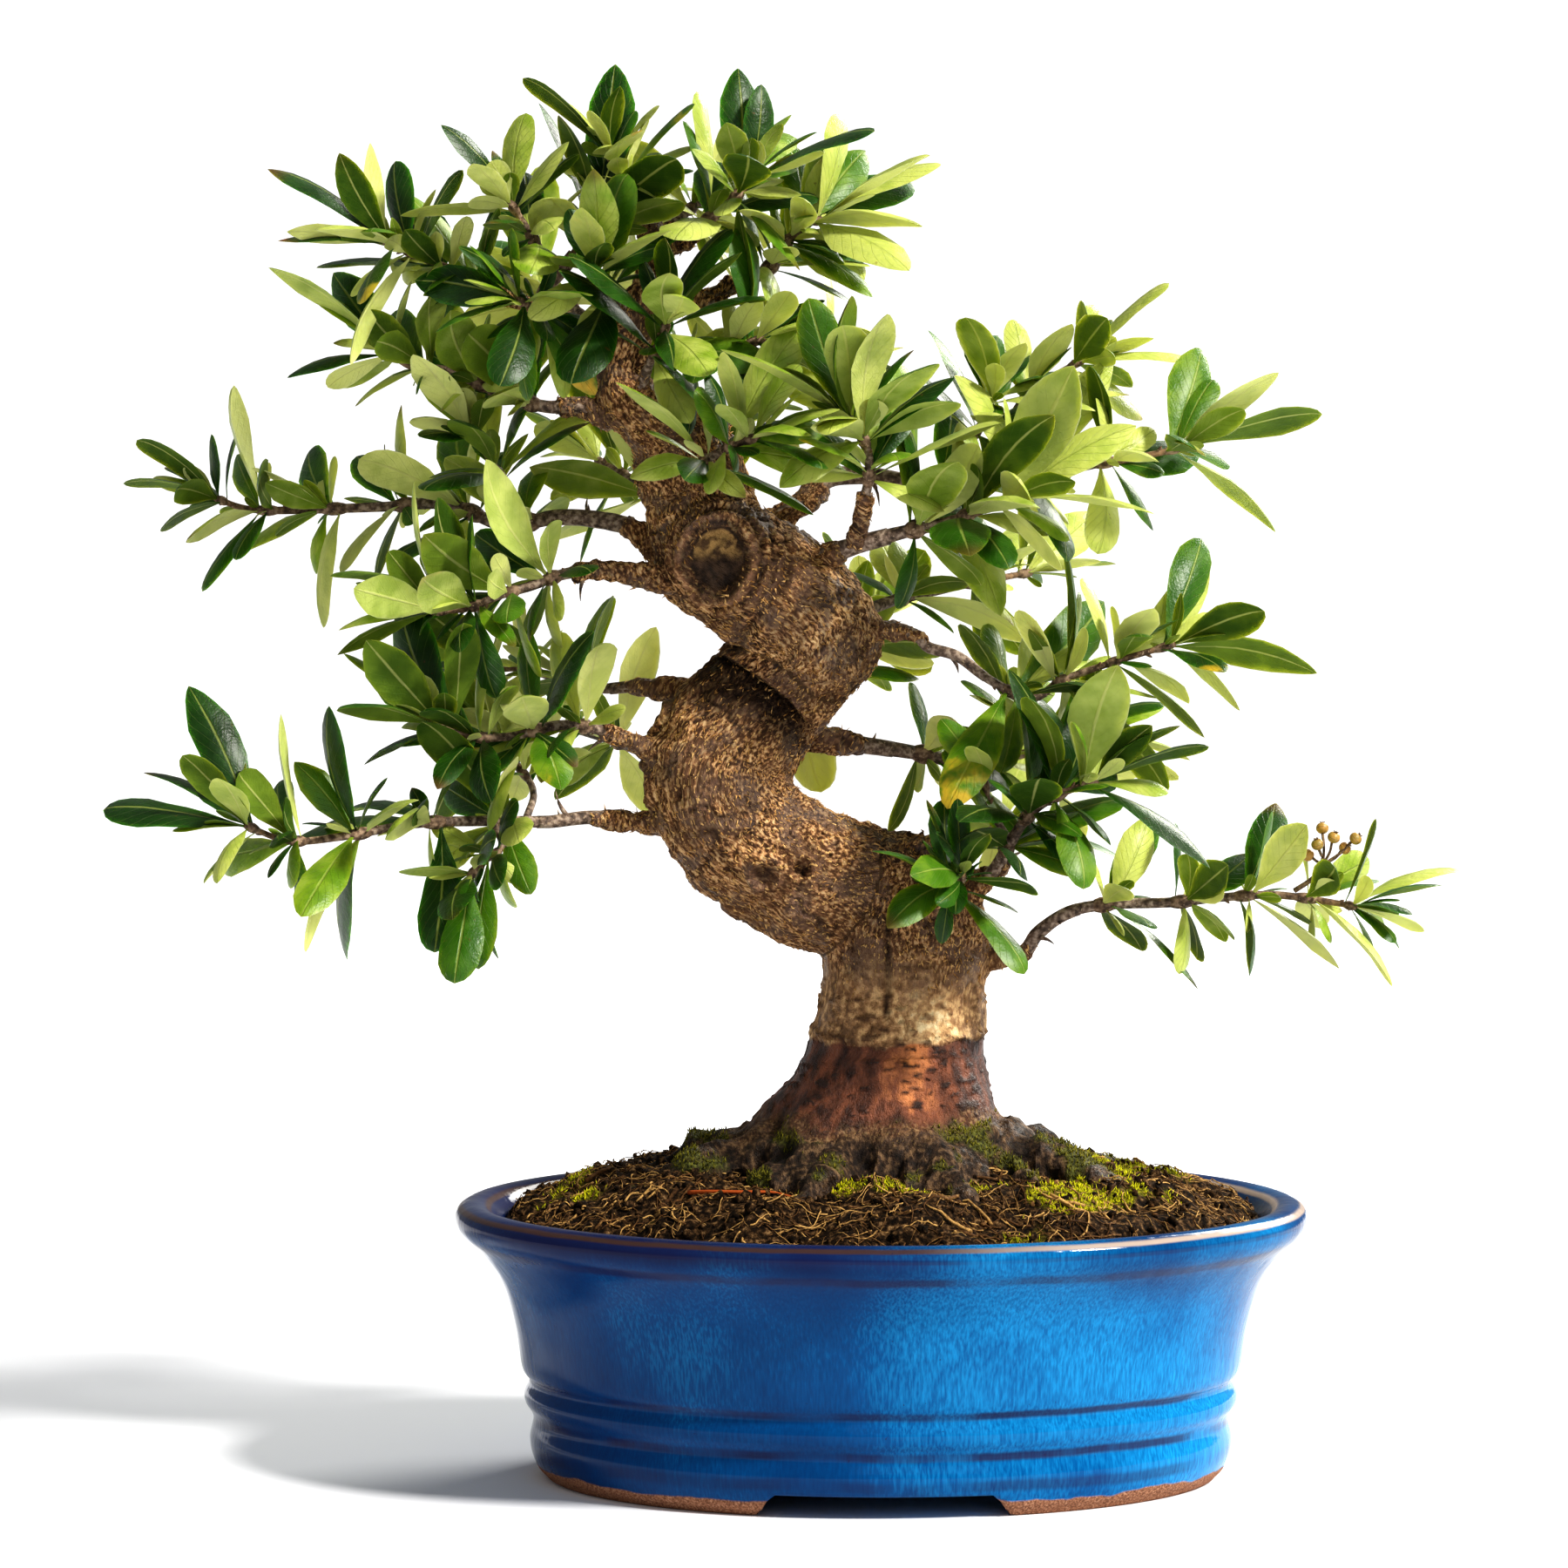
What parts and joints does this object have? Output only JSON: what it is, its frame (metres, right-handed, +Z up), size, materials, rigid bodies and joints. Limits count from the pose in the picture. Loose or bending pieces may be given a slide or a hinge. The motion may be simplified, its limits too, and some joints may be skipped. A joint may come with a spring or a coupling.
{
  "type": "potted pyracantha bonsai",
  "caption": "Evergreen firethorn bonsai with a thick S-shaped trunk, thorns, glossy leaves and a small bunch of berries, in a flared oval pot with a blue glaze.",
  "frame": {"origin": "middle of the object's bounding box, on the surface that the pot's foot rests on", "axes": "+Z up, +X to the right as the tree is seen from its front, +Y to the back; the object is longest along Z and shortest along Y"},
  "size_m": [0.4636, 0.2522, 0.487],
  "materials": {
    "glaze": "glossy running blue glaze, bare clay foot",
    "screen": "matte",
    "soil": "crumbly, with fine roots and moss",
    "bark": "rough bark",
    "leaf": "glossy leaf",
    "berry": "semi-gloss skin"
  },
  "bodies": {
    "root": {"pot": "glaze", "drain_screen_left": "screen", "drain_screen_right": "screen", "soil": "soil", "trunk": "bark", "berry_bunch": "berry", "spray_left_low": "leaf", "spray_left_mid": "leaf", "spray_left_back": "leaf", "spray_left_long": "leaf", "spray_left_drop": "leaf", "spray_left_upper": "leaf", "spray_crook": "leaf", "spray_left_top": "leaf", "spray_crown_left": "leaf", "spray_apex": "leaf", "spray_top_mid": "leaf", "spray_right_top": "leaf", "spray_front_twig": "leaf", "spray_crook_front": "leaf", "spray_leader_front": "leaf", "spray_leader_right": "leaf", "spray_front_upper": "leaf", "spray_right_upper": "leaf", "spray_right_thick": "leaf", "spray_front_right": "leaf", "spray_right_thin": "leaf", "spray_right_mid": "leaf", "spray_right_low": "leaf", "spray_right_front": "leaf", "spray_front_low": "leaf", "spray_back_low": "leaf", "spray_back_left_low": "leaf", "spray_back_mid": "leaf", "spray_back_right": "leaf", "spray_back_burl": "leaf", "spray_back_upper": "leaf", "spray_back_top": "leaf", "spray_back_crown": "leaf"}
  },
  "joints": []
}
